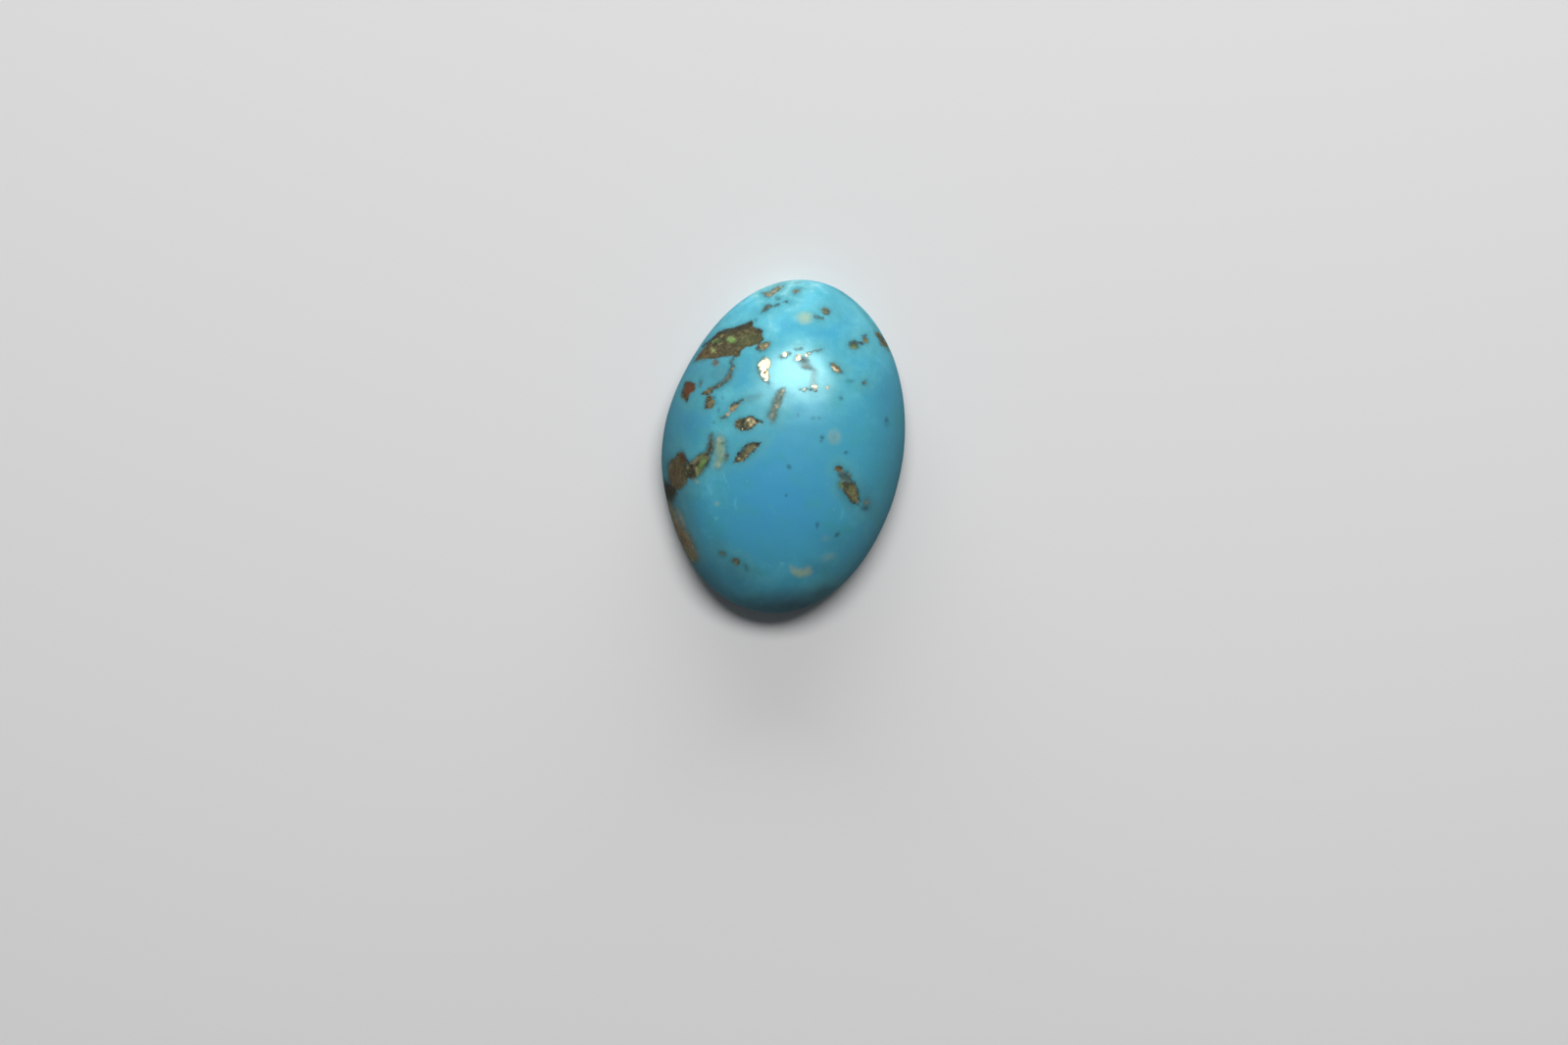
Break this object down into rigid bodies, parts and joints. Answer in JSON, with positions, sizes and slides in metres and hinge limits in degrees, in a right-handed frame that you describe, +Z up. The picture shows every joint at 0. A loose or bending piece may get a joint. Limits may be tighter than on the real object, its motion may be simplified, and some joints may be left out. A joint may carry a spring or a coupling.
{
  "type": "turquoise cabochon",
  "caption": "Polished oval turquoise with a domed top, slightly sunken brown and golden matrix and a sawn flat back, a loose stone for jewellery or display.",
  "frame": {"origin": "on the sawn flat back, under the middle of the stone's outline box", "axes": "+Z up from the back through the crown of the dome, +Y along the long axis towards the narrower end, +X across"},
  "size_m": [0.024, 0.0336, 0.0105],
  "materials": {
    "turquoise": "waxy polish, with rougher brown matrix and bright pyrite grains"
  },
  "bodies": {
    "root": {"stone": "turquoise"}
  },
  "joints": []
}
